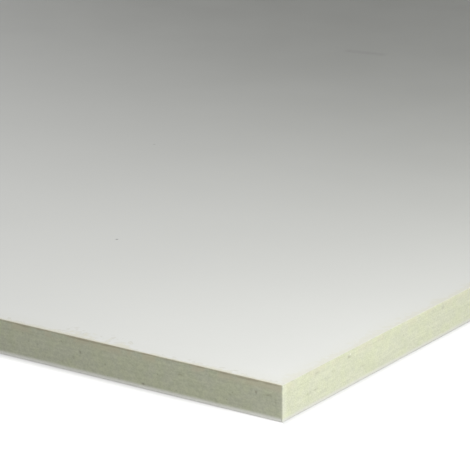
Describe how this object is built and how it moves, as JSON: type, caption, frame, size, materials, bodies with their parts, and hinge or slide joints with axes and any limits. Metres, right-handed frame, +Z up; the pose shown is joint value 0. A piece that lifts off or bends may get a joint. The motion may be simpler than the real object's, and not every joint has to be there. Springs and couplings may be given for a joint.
{
  "type": "plywood sheet",
  "caption": "Full rectangular sheet of plywood with smooth white faces and pale green sealed edges, lying flat, for cutting up or for fixing to a frame as panelling.",
  "frame": {"origin": "middle of the lower face, where the sheet lies on the floor", "axes": "+X along the sheet's length, +Y across its width, +Z up out of the upper face"},
  "size_m": [2.44, 1.22, 0.018],
  "materials": {
    "faced_plywood": "smooth satin white film on both faces, matt pale green sealer brushed on the sawn edges"
  },
  "bodies": {
    "root": {"plywood_sheet": "faced_plywood"}
  },
  "joints": []
}
